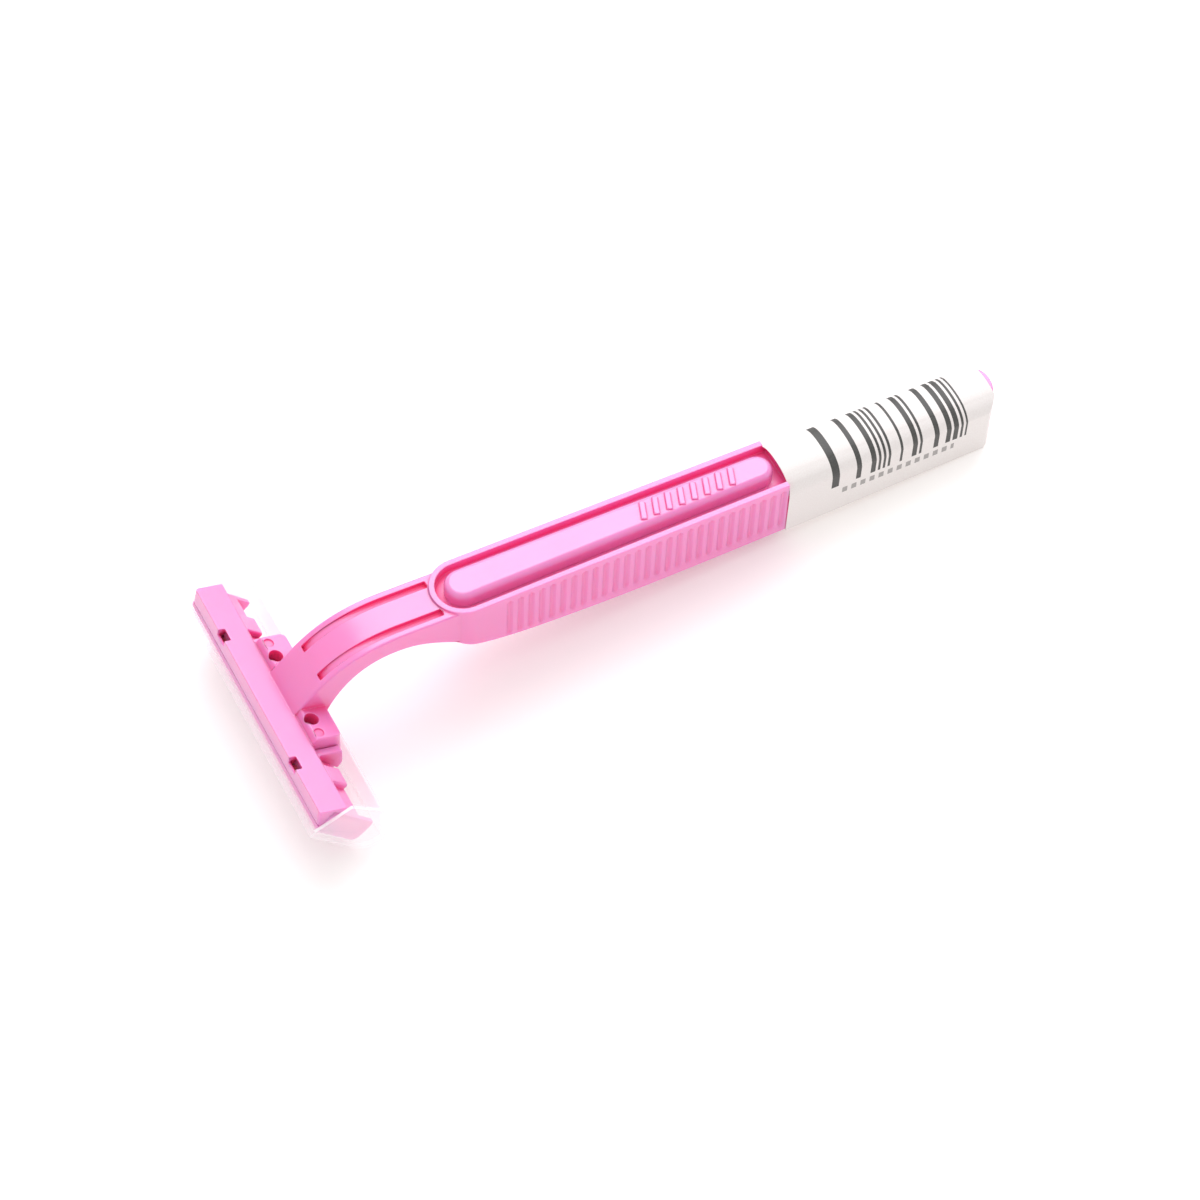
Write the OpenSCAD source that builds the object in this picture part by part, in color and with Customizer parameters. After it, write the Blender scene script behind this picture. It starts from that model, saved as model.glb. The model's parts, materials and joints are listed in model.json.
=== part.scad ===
// Twin-blade disposable razor with a fixed head, lying face down as it rests on a table.
// Everything is drawn in the grip's own frame: X runs along the grip towards the tail,
// Y is across it and Z = 0 is the grip's top rim. rest() then tilts it onto the floor.

/* [Grip] */
// Length of the grip from its round front end to its round tail
grip_len = 88.9; // [80:0.1:100]
// Half width of the grip at its front end
grip_front_half = 4.75; // [4.2:0.05:5.5]
// Half width of the grip at its tail
grip_tail_half = 4.3; // [3.8:0.05:5]
// Depth of the grip at the tail
grip_tail_deep = 9.4; // [8.5:0.1:10.5]
// Depth of the grip at the middle of the ribbed zone
grip_belly_deep = 10.5; // [9.5:0.1:11.5]
// Radius of the tail's end, seen from above
tail_round = 5.2; // [5:0.1:8]
// Height of the tail's domed top above the grip's rim
tail_crown = 0.5; // [0.2:0.1:0.8]
// Thickness of the side walls beside the hollow underside
grip_wall = 1.5; // [1.2:0.05:1.8]
// Thickness of the deck between the trough and the hollow
grip_deck = 1.8; // [1.4:0.1:2.4]

/* [Grip ribs] */
// Number of grooves between the finger ribs on each side
groove_count = 27; // [10:1:27]
// Distance from rib to rib
rib_pitch = 1.66; // [1.4:0.01:1.8]
// Distance from the grip's round front end to the first rib groove
rib_start = 9.2; // [6:0.1:12]
// Depth of the grooves between the ribs
rib_deep = 0.35; // [0.2:0.05:0.5]

/* [Panel] */
// Length of the raised panel
panel_len = 51; // [45:0.1:52]
// Half width of the panel at its front end
panel_front_half = 2.65; // [2.3:0.05:3]
// Half width of the panel at its rear end
panel_rear_half = 2.3; // [2:0.05:2.6]
// Width of the groove around the panel
panel_groove = 1.25; // [0.9:0.05:1.4]
// Depth of the trough that holds the panel
trough_deep = 1.5; // [1:0.1:2]
// How far the panel stands above the rim
panel_proud = 0.8; // [0.2:0.05:0.8]
// Number of slanted ridges in the panel's mark
mark_count = 8; // [3:1:8]

/* [Neck] */
// Half width of the neck
neck_half = 4.1; // [3.6:0.05:4.6]
// Distance between the two grooves along the neck
neck_groove_gap = 5.2; // [4.4:0.1:5.8]
// Half width of the mounting pad behind the head
pad_half = 9.5; // [8.8:0.1:9.7]
// Half distance between the two post holes in the pad
post_half_gap = 5.84; // [5.3:0.02:6.2]
// Radius of the post holes
post_hole_r = 1; // [0.9:0.05:1.3]

/* [Head] */
// Length of the head along the cutting edge
head_len = 41.5; // [40:0.1:43]
// Angle between the shaving face and the grip
shave_angle = 48; // [46:1:50]
// Angle between the blades and the shaving face
blade_angle = 22; // [20:1:24]
// Distance between the two cutting edges
edge_gap = 1.5; // [1.4:0.05:1.6]
// Width of a blade from its back to its edge
blade_wide = 4.4; // [4.2:0.05:4.45]
// Length of a blade
blade_len = 38.6; // [36:0.1:38.8]
// Thickness of a blade
blade_thick = 0.1; // [0.08:0.01:0.12]
// Radius of the cap's pins that hold the blade pack
pin_r = 0.8; // [0.6:0.05:0.9]

/* [Guard] */
// Wall thickness of the clear guard
guard_wall = 0.55; // [0.5:0.05:0.6]
// Gap between the guard's end walls and the head
guard_gap = 0.2; // [0.15:0.05:0.4]

/* [Label] */
// Length of the wrapped label
label_len = 34.4; // [25:0.1:34.4]
// Thickness of the label
label_thick = 0.12; // [0.08:0.01:0.2]
// Distance from the label's edge to the tip of the tail
label_edge = 0.7; // [0.5:0.1:1.4]

/* [Hidden] */
$fn = 48;
slack = 0.02;
far = 60;

// Places in the grip's frame
front_x = -1.2;
tail_x = front_x + grip_len;
arc_x = front_x + grip_front_half;
trough_front_half = panel_front_half + panel_groove;
trough_rear_half = panel_rear_half + panel_groove;
trough_x0 = arc_x - trough_front_half;
panel_x0 = trough_x0 + panel_groove;
panel_x1 = panel_x0 + panel_len;
trough_x1 = panel_x1 + 0.7;
tail_steps = 6;
tail_turn = asin(grip_tail_half / tail_round);
tail_corner_x = tail_x - tail_round * (1 - cos(tail_turn));
tail_shoulder = 3;
tail_foot_in = 1.5;
hollow_x0 = 4;
hollow_x1 = tail_x - 4;
web_count = 5;
web_thick = 1.2;
hollow_top = -trough_deep - grip_deck;
label_x0 = tail_x - label_edge - label_len;
rib_top = -0.9;
rib_low = -9;
neck_groove_wide = 1.1;
edge_cut = 0.6;

// The slanted ridges on the panel
mark_x = 31.5;
mark_pitch = 2;
mark_turn = 20;
mark_wide = 0.9;
mark_long = 3;
mark_high = 0.3;

// The head's own frame: U runs along the shaving face from the cap to the guard bar,
// V goes from the shaving face into the head. nose is where both are zero.
nose = [-28.45, -11.6];
bar_front = [-2.54, 3.16];
bar_rear = [1.24, 5.4];
bar_front_v = 1;
inner_u = -0.25;
seat_back = 4;
seat_rear_u = 8.35;
lower_edge_u = 5.4;
pack_step = edge_gap * sin(blade_angle);
upper_back = -edge_gap * cos(blade_angle);
pin_along = -3.7;
pin_spacing = 8;
pin_top = 1.5;
half_head = head_len / 2;
end_wall = 0.6;

// The pad behind the head and the two posts in it
pad_slope = 17;
pad_x = -22.2;
pad_z = -8.3;
pad_rear_x = -19.35;
pad_top_x = -23.05;
pad_foot = [7.4, 4];
post_sunk = 1.9;
post_long = 4.2;
dimple_y = 8.3;
dimple_r = 0.7;
dimple_deep = 0.3;
post_r = post_hole_r - 0.1;

// The step beside the pad, the blocks next to it and the relief behind the guard bar
step_drop = 2;
step_gap = 0.12;
step_wide = 1.28;
step_rear_x = -19.95;
block_y = [12.4, 15.6];
block_u = 1.7;
block_high = 1;
relief_u = 5.3;
relief_v = 0.95;
relief_foot_u = 7.9;

// The gaps between the guard bar's teeth
tooth_count = 9;
tooth_u = 7;
tooth_first = 1;
tooth_pitch = 2.1;
tooth_gap = 0.5;

// The notches in the bar's front edge
notch_y = 11.8;
notch_wide = 2.1;
notch_x = -26.8;
notch_z = -8.8;

// The guard's section in the grip's frame, and the tilt that it gives the razor at rest
guard_low = [-21.6, -19.4];
guard_rear_x = -18.6;
guard_top_z = -12.2;
guard_peak = [-23.3, -8.3];
guard_bend_u = 8;
guard_floor_v = -0.7;
guard_lip_u = -1.05;
guard_lip_v = 0.35;

// The grip's underside dips to the belly and comes back up to the tail
belly_in = [34, -grip_belly_deep - 0.3];
belly_out = [52, -grip_belly_deep + 0.3];
tail_foot = [tail_x - tail_foot_in, -grip_tail_deep - label_thick];
rest_tilt = atan((tail_foot[1] - guard_low[1]) / (tail_foot[0] - guard_low[0]));

// Turns a point of the grip's side view into the resting frame
function tilted(p) = [p[0] * cos(rest_tilt) + p[1] * sin(rest_tilt),
    -p[0] * sin(rest_tilt) + p[1] * cos(rest_tilt)];
// Turns a point of the head's section into the grip's side view
function in_grip(p) = [nose[0] + p[0] * cos(shave_angle) + p[1] * sin(shave_angle),
    nose[1] - p[0] * sin(shave_angle) + p[1] * cos(shave_angle)];
// Turns a point of the blade pack into the head's section
function in_head(p) = [lower_edge_u + p[0] * cos(blade_angle) + p[1] * sin(blade_angle),
    -p[0] * sin(blade_angle) + p[1] * cos(blade_angle)];
// A curve from a to d that leaves towards b and arrives from c
function curve(a, b, c, d, steps) = [for (i = [0:steps]) let (t = i / steps, s = 1 - t)
    s * s * s * a + 3 * s * s * t * b + 3 * s * t * t * c + t * t * t * d];
// Half width of the grip at a place along it
function grip_half(x) = grip_front_half
    + (grip_tail_half - grip_front_half) * (x - arc_x) / (tail_x - arc_x);

guard_lip = in_grip([guard_lip_u, guard_floor_v]);
rest_lift = -tilted(guard_low)[1];
rest_shift = -(tilted(guard_lip)[0] + tilted([tail_x, 0])[0]) / 2;

// Lays the razor on the floor, with the origin under the middle of its bounding box
module rest() translate([rest_shift, 0, rest_lift]) rotate([0, rest_tilt, 0]) children();

// Extrudes an outline of the grip's side view across the razor
module across(width) rotate([90, 0, 0]) linear_extrude(width, center = true) children();

// Carries children from the head's frame into the grip's frame
module head_frame() translate([nose[0], 0, nose[1]]) rotate([0, shave_angle, 0]) children();

// Carries children from the blade pack's frame into the head's frame
module pack_frame() translate([lower_edge_u, 0, 0]) rotate([0, blade_angle, 0]) children();

module both_sides() {
    children();
    mirror([0, 1, 0]) children();
}

// Plan view with a round front end and straight sides that taper to the rear
module grip_plan(front_half, rear_half, x_arc, x_end) {
    translate([x_arc, 0]) circle(front_half);
    polygon([[x_arc, -front_half], [x_end, -rear_half], [x_end, rear_half], [x_arc, front_half]]);
}

module grip_side() polygon(concat(
    [[tail_x, -grip_tail_deep + 1], [tail_x, tail_crown], [label_x0, tail_crown], [label_x0, 0],
        [front_x - 1, 0]],
    curve([front_x - 1, -5.2], [2.4, -8.6], [8, -9.4], [20, -10], 10),
    curve([20, -10], belly_in, belly_out, tail_foot + [0, label_thick], 10)));

// What the tail's domed top leaves free, from the label's front edge on
module tail_top_cut() {
    half = grip_half(label_x0);
    dome = curve([-half, -tail_shoulder], [-half, -0.5], [-half * 0.6, tail_crown], [0, tail_crown], 10);
    translate([label_x0, 0, 0]) rotate([90, 0, 90]) linear_extrude(far) polygon(concat(
        dome, [for (i = [9:-1:0]) [-dome[i][0], dome[i][1]]],
        [[half + 1, -tail_shoulder], [half + 1, tail_crown + 1],
            [-half - 1, tail_crown + 1], [-half - 1, -tail_shoulder]]));
}

module grip_outline() {
    grip_plan(grip_front_half, grip_tail_half, arc_x, tail_corner_x);
    polygon([for (i = [-tail_steps:tail_steps]) let (a = tail_turn * i / tail_steps)
        [tail_x - tail_round * (1 - cos(a)), tail_round * sin(a)]]);
}

module grip_body() difference() {
    intersection() {
        across(far) grip_side();
        translate([0, 0, -far / 2]) linear_extrude(far) grip_outline();
    }
    tail_top_cut();
}

module trough() translate([0, 0, -trough_deep]) linear_extrude(far)
    grip_plan(trough_front_half, trough_rear_half, arc_x, trough_x1);

module hollow() {
    cell = (hollow_x1 - hollow_x0 + web_thick) / (web_count + 1);
    inner = grip_tail_half - grip_wall;
    for (i = [0:web_count])
        translate([hollow_x0 + cell * i, -inner, hollow_top - far])
            cube([cell - web_thick, 2 * inner, far]);
}

module rib_grooves() both_sides() for (i = [0:groove_count - 1])
    let (x = front_x + rib_start + rib_pitch * i)
        translate([x, grip_half(x) - rib_deep, rib_low])
            cube([rib_pitch / 2, far, rib_top - rib_low]);

// Side view of the neck, from the bar behind the cap up to the grip
module neck_side() polygon(concat(
    curve([-24.6, -9.2], [-21.4, -6.8], [-18.6, -0.35], [-8, -0.2], 16),
    [[4, -0.45], [4, -8.6]],
    curve([4, -8.6], [-1.6, -5.6], [-4.2, -3.4], [-8.4, -3.4], 8),
    curve([-8.4, -3.4], [-13.6, -3.3], [-17, -6.4], [-19.3, -11.4], 10),
    [[pad_rear_x, -13.4], in_grip([7.6, seat_back]), in_grip([1.65, seat_back])]));

module neck_grooves() intersection() {
    across(far) polygon(concat(
        curve([-19.4, -5.6], [-17.4, -2.7], [-14.6, -0.9], [-8, -0.9], 12),
        [[front_x + 0.4, -1.1], [front_x + 0.4, 2], [-19.4, 2]]));
    both_sides() translate([-far / 2, (neck_groove_gap - neck_groove_wide) / 2, -far / 2])
        cube([far, neck_groove_wide, far]);
}

// A point of the pad's top, which is parallel to the bar's face
function pad_top(x, drop = 0) = [x, pad_z - drop - (x - pad_x) * tan(pad_slope)];

// Side view of the pad, which grows out of the bar
module pad_side() polygon([in_grip([1.2, seat_back + 0.2]), in_grip(bar_rear - [0.15, 0.05]),
    pad_top(pad_top_x), pad_top(pad_rear_x), [pad_rear_x, -13.4], in_grip(pad_foot)]);

module pad() intersection() {
    across(far) pad_side();
    translate([0, 0, -far / 2]) linear_extrude(far) polygon([
        [-26, -pad_half], [pad_rear_x - 0.8, -pad_half], [pad_rear_x, -pad_half + 0.8],
        [pad_rear_x, pad_half - 0.8], [pad_rear_x - 0.8, pad_half], [-26, pad_half]]);
}

module on_pad(y) translate([pad_x, y, pad_z]) rotate([0, pad_slope, 0]) children();

// The bar along the head's back with the front wall that covers the blade pack
module spine() head_frame() across(head_len) polygon([
    bar_front, [bar_front[0] * bar_front_v / bar_front[1], bar_front_v], [inner_u, bar_front_v],
    [inner_u, seat_back], [1.65, seat_back], bar_rear]);

module notches() both_sides()
    translate([notch_x - 6, notch_y - notch_wide / 2, notch_z]) cube([6, notch_wide, 6]);

module handle() color("hotpink") rest() difference() {
    union() {
        grip_body();
        across(2 * neck_half) neck_side();
        pad();
        spine();
    }
    trough();
    hollow();
    rib_grooves();
    neck_grooves();
    notches();
    both_sides() on_pad(post_half_gap) cylinder(h = 12, r = post_hole_r, center = true);
    both_sides() on_pad(dimple_y) translate([0, 0, -dimple_deep]) cylinder(h = 2, r = dimple_r);
}

module panel_plan() {
    grip_plan(panel_front_half, panel_rear_half, arc_x, panel_x1 - panel_rear_half);
    translate([panel_x1 - panel_rear_half, 0]) circle(panel_rear_half);
}

module panel_edge_cut() both_sides()
    translate([arc_x, panel_front_half, panel_proud])
        rotate([0, 0, -atan((panel_front_half - panel_rear_half) / (panel_x1 - arc_x))])
            rotate([45, 0, 0]) translate([-far / 4, -edge_cut / 2, -edge_cut / 2])
                cube([2 * far, edge_cut, edge_cut]);

module grip_panel() color("plum") rest() {
    difference() {
        translate([0, 0, -trough_deep]) linear_extrude(trough_deep + panel_proud)
            panel_plan();
        panel_edge_cut();
    }
    for (i = [0:mark_count - 1])
        translate([mark_x + mark_pitch * i, 0, panel_proud]) rotate([0, 0, -mark_turn])
            translate([-mark_wide / 2, -mark_long / 2, -0.2]) cube([mark_wide, mark_long, 0.2 + mark_high]);
}

module cap_section() polygon([[3.3, 0.08], in_head([-2.05, -pack_step]), in_head([-5.75, -pack_step]),
    [inner_u, 1.55], [inner_u, bar_front_v], [bar_front[0] * bar_front_v / bar_front[1], bar_front_v],
    [-0.42, 0.42], [0, 0.12], [0.5, 0]]);

module pack_pins(r, low, high) for (i = [-2:2])
    translate([pin_along, pin_spacing * i, low]) cylinder(h = high - low, r = r);

module cap() color("deeppink") rest() head_frame() {
    across(head_len) cap_section();
    pack_frame() pack_pins(pin_r, -pack_step - 0.2, pin_top);
}

module seat_section() polygon([in_head([-0.9, blade_thick]), in_head([-blade_wide - 0.05, blade_thick]),
    in_head([-blade_wide - 0.05, 0]), in_head([-6, 0]), [inner_u, 2.3], [inner_u, seat_back],
    [8.05, seat_back], [seat_rear_u, 3.4], [seat_rear_u, 0.9], [8, 0.25], [7.5, 0], [6.9, 0],
    [6.35, 0.5], [6.25, 1.5], [4.9, 1.6]]);

module seat_end_section() difference() {
    polygon([[inner_u, bar_front_v], [0.3, 0.15], [0.6, 0], [7.5, 0], [8, 0.25], [seat_rear_u, 0.9],
        [seat_rear_u, 3.4], [8.05, seat_back], [inner_u, seat_back]]);
    cap_section();
}

// Space behind the guard bar, between the end walls and the pad
module seat_relief() both_sides() translate([0, (pad_half + half_head - end_wall) / 2, 0])
    across(half_head - end_wall - pad_half) polygon([
        [relief_u, seat_back], [relief_foot_u, relief_v], [relief_foot_u + 1, relief_v],
        [relief_foot_u + 1, seat_back + 1], [relief_u, seat_back + 1]]);

// A step beside the pad, parallel to its top
module seat_step() translate([0, pad_half + step_gap + step_wide / 2, 0]) across(step_wide)
    polygon([in_grip([block_u, seat_back - 0.2]), pad_top(pad_top_x, step_drop),
        pad_top(step_rear_x, step_drop), [step_rear_x, -13.2], in_grip([7.2, seat_back - 0.3])]);

module seat_block() translate([block_u, block_y[0], seat_back - 0.5])
    cube([relief_u - block_u, block_y[1] - block_y[0], 0.5 + block_high]);

module seat_post() on_pad(post_half_gap) translate([0, 0, -post_long])
    cylinder(h = post_long - post_sunk, r = post_r);

module blade_seat() color("mediumvioletred") rest() {
    head_frame() difference() {
        union() {
            across(head_len - slack) seat_section();
            both_sides() translate([0, half_head - end_wall / 2 - slack / 2, 0])
                across(end_wall) seat_end_section();
            both_sides() seat_block();
        }
        seat_relief();
        pack_frame() pack_pins(pin_r + slack, -1, pin_top + 0.1);
        both_sides() for (i = [0:tooth_count - 1])
            translate([tooth_u, tooth_first + tooth_pitch * i, -0.6]) cube([3, tooth_gap, 1]);
    }
    both_sides() seat_step();
    both_sides() seat_post();
}

// A strip of the blade pack with holes for the cap's pins
module pack_strip(back, front, low, high, len) difference() {
    translate([back, -len / 2, low]) cube([front - back, len, high - low]);
    pack_pins(pin_r + 0.1, low - 1, high + 1);
}

module blade(edge, low) difference() {
    pack_strip(edge - blade_wide, edge, low, low + blade_thick, blade_len);
    translate([edge, 0, low + blade_thick]) rotate([0, 8, 0])
        translate([-1.2, -far / 2, 0]) cube([2, far, 1]);
}

module lower_blade() color("silver") rest() head_frame() pack_frame() blade(0, 0);

module upper_blade() color("gainsboro") rest() head_frame() pack_frame() blade(upper_back, -pack_step);

module blade_spacer() color("darkgray") rest() head_frame() pack_frame()
    pack_strip(-5.75, -1.9, -pack_step + blade_thick, 0, blade_len);

// Outline of the guard's end wall in the grip's side view
module guard_outline() polygon([
    in_grip([guard_lip_u, guard_floor_v]), in_grip([guard_bend_u, guard_floor_v]), guard_low,
    [guard_rear_x, guard_low[1] + (guard_rear_x - guard_low[0]) * tan(rest_tilt)],
    [guard_rear_x, guard_top_z], guard_peak, in_grip([guard_lip_u, guard_lip_v])]);

// What the guard's walls leave free, open towards the head and above the front lip
module guard_cavity() polygon([
    in_grip([guard_lip_u + guard_wall, guard_floor_v + guard_wall]),
    in_grip([guard_bend_u - 0.1, guard_floor_v + guard_wall]),
    guard_low + [-0.15, guard_wall + 0.05],
    [guard_rear_x - guard_wall, guard_low[1] + guard_wall + 0.25],
    [guard_rear_x - guard_wall, 0], [-34, 0],
    in_grip([guard_lip_u - 2, guard_lip_v]), in_grip([guard_lip_u + guard_wall, guard_lip_v])]);

module blade_guard() color("lightcyan", 0.4) rest() {
    inside = head_len + 2 * guard_gap;
    difference() {
        across(inside + 2 * guard_wall) guard_outline();
        across(inside) guard_cavity();
    }
}

module barcode_label() color("white") rest() difference() {
    intersection() {
        union() for (dy = [-1, 1], dz = [-1, 1])
            translate([0, dy * label_thick, dz * label_thick]) grip_body();
        translate([label_x0, -far / 2, -far / 2]) cube([label_len, far, far]);
    }
    grip_body();
}

handle();
grip_panel();
blade_seat();
lower_blade();
blade_spacer();
upper_blade();
cap();
blade_guard();
barcode_label();
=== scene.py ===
import bpy
import bmesh
import json
from math import atan2, cos, pi, radians, sin, tan
from mathutils import Matrix, Vector


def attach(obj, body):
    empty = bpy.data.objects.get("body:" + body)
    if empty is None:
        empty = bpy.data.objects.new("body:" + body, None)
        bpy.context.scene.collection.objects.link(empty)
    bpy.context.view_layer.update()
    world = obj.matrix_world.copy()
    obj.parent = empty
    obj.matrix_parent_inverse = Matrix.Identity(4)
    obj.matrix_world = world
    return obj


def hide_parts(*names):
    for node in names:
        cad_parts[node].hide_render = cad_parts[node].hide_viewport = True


# Twin blade razor with its clear guard, lying face down on a pale table.
# Everything is modelled in millimetres in the grip's own frame, X to the tail and Z = 0 on the rim,
# then finishPiece() lays it down where the frame has it.

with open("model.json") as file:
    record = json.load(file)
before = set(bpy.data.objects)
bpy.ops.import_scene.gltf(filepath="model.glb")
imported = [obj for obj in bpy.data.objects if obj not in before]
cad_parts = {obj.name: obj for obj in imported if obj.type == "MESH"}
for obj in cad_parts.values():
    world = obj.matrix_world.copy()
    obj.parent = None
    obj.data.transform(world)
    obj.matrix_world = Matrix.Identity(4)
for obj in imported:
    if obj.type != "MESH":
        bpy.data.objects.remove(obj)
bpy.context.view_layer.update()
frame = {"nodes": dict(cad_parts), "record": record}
record = frame["record"]
print("frame loaded:", len(frame["nodes"]), "nodes")


def mountOf(name):
    return next(m for m in record["mounts"] if m["name"] == name)


# The neck mount's axis is square to the grip's rim, which gives the grip's tilt and its place
waist = mountOf("neck_waist")
tilt = atan2(waist["axis"][0], waist["axis"][2])
waistPlace = Vector((-6, 0, -1.8))
layDown = Matrix.Rotation(tilt, 4, "Y")
gripOrigin = Vector(waist["pos_m"]) * 1000 - layDown @ waistPlace
toRest = Matrix.Scale(0.001, 4) @ Matrix.Translation(gripOrigin) @ layDown


# Small helpers for the modelling

def deselectAll():
    if bpy.context.mode != "OBJECT":
        bpy.ops.object.mode_set(mode="OBJECT")
    bpy.ops.object.select_all(action="DESELECT")


def makeActive(ob):
    deselectAll()
    ob.select_set(True)
    bpy.context.view_layer.objects.active = ob
    return ob


def boxBetween(name, low, high):
    # a cube added at its size and place
    deselectAll()
    low, high = Vector(low), Vector(high)
    bpy.ops.mesh.primitive_cube_add(size=1, location=(low + high) / 2, scale=high - low)
    ob = bpy.context.object
    ob.name = name
    bpy.ops.object.transform_apply(location=True, rotation=True, scale=True)
    return ob


def rod(radius, x, y, low, high, sides=32):
    # an upright cylinder between two heights
    deselectAll()
    bpy.ops.mesh.primitive_cylinder_add(vertices=sides, radius=radius, depth=high - low,
                                        location=(x, y, (low + high) / 2))
    bpy.ops.object.transform_apply(location=True, rotation=True, scale=True)
    return bpy.context.object


def joinAll(pieces):
    makeActive(pieces[0])
    for ob in pieces[1:]:
        ob.select_set(True)
    bpy.ops.object.join()
    return pieces[0]


def pick(ob, kind, test):
    # selects the verts, edges or faces that pass the test on their middle and normal
    makeActive(ob)
    bpy.ops.object.mode_set(mode="EDIT")
    bpy.ops.mesh.select_mode(type={"verts": "VERT", "edges": "EDGE", "faces": "FACE"}[kind])
    bpy.ops.mesh.select_all(action="DESELECT")
    bm = bmesh.from_edit_mesh(ob.data)
    for part in getattr(bm, kind):
        if kind == "verts":
            hit = test(part.co, part.normal)
        elif kind == "edges":
            hit = test((part.verts[0].co + part.verts[1].co) / 2, part.verts[1].co - part.verts[0].co)
        else:
            hit = test(part.calc_center_median(), part.normal)
        part.select_set(bool(hit))
    bm.select_flush_mode()
    bmesh.update_edit_mesh(ob.data)


def backToObject():
    bpy.ops.object.mode_set(mode="OBJECT")


def roundEdges(ob, test, width, steps=4):
    pick(ob, "edges", test)
    bpy.ops.mesh.bevel(offset=width, segments=steps, profile=0.5, clamp_overlap=False)
    backToObject()


def applyModifier(ob, kind, **settings):
    makeActive(ob)
    mod = ob.modifiers.new(kind.lower(), kind)
    for key, value in settings.items():
        setattr(mod, key, value)
    bpy.ops.object.modifier_apply(modifier=mod.name)
    return ob


def softenEdges(ob, width, angle=40, **settings):
    # a small bevel on every edge sharper than the angle
    return applyModifier(ob, "BEVEL", width=width, segments=2, limit_method="ANGLE",
                         angle_limit=radians(angle), **settings)


def combine(ob, other, operation):
    applyModifier(ob, "BOOLEAN", object=other, operation=operation, solver="EXACT")
    bpy.data.objects.remove(other)
    return ob


def weld(ob, distance):
    pick(ob, "verts", lambda p, n: True)
    bpy.ops.mesh.remove_doubles(threshold=distance)
    bpy.ops.mesh.normals_make_consistent(inside=False)
    backToObject()
    return ob


def traceShape(name, points, plane, low, high):
    # draws an outline point by point from one vertex, fills it and pulls it out between low and high:
    # "side" draws in X and Z, "plan" in X and Y, "cross" in Y and Z, and each pulls along the third
    place = {"side": lambda p: Vector((p[0], low, p[1])), "plan": lambda p: Vector((p[0], p[1], low)),
             "cross": lambda p: Vector((low, p[0], p[1]))}[plane]
    pull = (high - low) * Vector({"side": (0, 1, 0), "plan": (0, 0, 1), "cross": (1, 0, 0)}[plane])
    deselectAll()
    bpy.ops.mesh.primitive_plane_add(size=0.01, location=place(points[0]))
    ob = bpy.context.object
    ob.name = name
    bpy.ops.object.transform_apply(location=True, rotation=True, scale=True)
    bpy.ops.object.mode_set(mode="EDIT")
    bpy.ops.mesh.select_mode(type="VERT")
    bpy.ops.mesh.merge(type="CENTER")
    here = place(points[0])
    for p in points[1:]:
        bpy.ops.mesh.extrude_vertices_move(TRANSFORM_OT_translate={"value": place(p) - here})
        here = place(p)
    bpy.ops.mesh.select_all(action="SELECT")
    bpy.ops.mesh.edge_face_add()
    bpy.ops.mesh.extrude_region_move(TRANSFORM_OT_translate={"value": pull})
    bpy.ops.mesh.select_all(action="SELECT")
    bpy.ops.mesh.normals_make_consistent(inside=False)
    backToObject()
    return ob


def mirrorCopy(ob):
    # the same piece on the other side of the razor, joined into one mesh
    return applyModifier(ob, "MIRROR", use_axis=(False, True, False), use_mirror_merge=False)


def repeat(ob, count, step):
    # a row of copies, each a step on from the last
    return applyModifier(ob, "ARRAY", count=count, use_relative_offset=False, use_constant_offset=True,
                         constant_offset_displace=step)


def turn(ob, matrix):
    ob.data.transform(matrix)
    ob.data.update()
    return ob


def bend(a, b, c, d, steps):
    # points on a curve from a to d that leaves towards b and arrives from c
    a, b, c, d = Vector(a), Vector(b), Vector(c), Vector(d)
    out = []
    for i in range(steps + 1):
        t = i / steps
        s = 1 - t
        out.append(s**3 * a + 3 * s * s * t * b + 3 * s * t * t * c + t**3 * d)
    return out


def finishPiece(ob, name, body, replaced):
    # smooth shading up to an angle, then down to real size and onto the table
    makeActive(ob)
    bpy.ops.object.shade_smooth_by_angle(angle=radians(35))
    applyModifier(ob, "WEIGHTED_NORMAL", keep_sharp=True, weight=80, thresh=0.001)
    ob.name = name
    ob.data.name = name
    turn(ob, toRest)
    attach(ob, body)
    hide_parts(replaced)
    return ob


# The handle is one moulding: grip, neck, pad and bar. This is the grip

grip = {
    "front": -1.2, "tail": 87.7,
    "frontHalf": 4.75, "tailHalf": 4.3,
    "tailDeep": 9.4, "bellyDeep": 10.5,
    "tailRound": 5.2, "crown": 0.5, "shoulder": 3.0,
    "labelFrom": 52.6,
    "troughDeep": 1.5, "troughHalf": 3.9, "troughRearHalf": 3.55, "troughSoft": 0.15,
    "ribs": 27, "ribPitch": 1.66, "ribFrom": 7.8, "ribDeep": 0.3, "ribWide": 1.4,
    "ribRun": 0.9, "ribTop": -0.8, "ribLow": -9.3,
    "edge": 0.16,
}
arcX = grip["front"] + grip["frontHalf"]


def gripHalf(x):
    share = (x - arcX) / (grip["tail"] - arcX)
    return grip["frontHalf"] + (grip["tailHalf"] - grip["frontHalf"]) * share


def slotPlan(frontHalf, rearHalf, xArc, xEnd, steps=28):
    # round at the front, straight sides to the rear
    pts = [Vector((xEnd, -rearHalf))]
    for i in range(steps + 1):
        a = pi / 2 * 3 - pi * i / steps
        pts.append(Vector((xArc + frontHalf * cos(a), frontHalf * sin(a))))
    pts.append(Vector((xEnd, rearHalf)))
    return pts


def gripSide():
    tailX, deep = grip["tail"], grip["tailDeep"]
    front = bend((grip["front"] - 1, -5.2), (2.4, -8.6), (8, -9.4), (20, -10), 12)
    belly = bend((20, -10), (34, -grip["bellyDeep"] - 0.3), (52, -grip["bellyDeep"] + 0.3),
                 (tailX - 1.5, -deep), 14)
    top = [(tailX + 1, -deep + 2), (tailX + 1, 2), (grip["front"] - 1, 2)]
    return [Vector(p) for p in top] + front + belly[1:]


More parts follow.
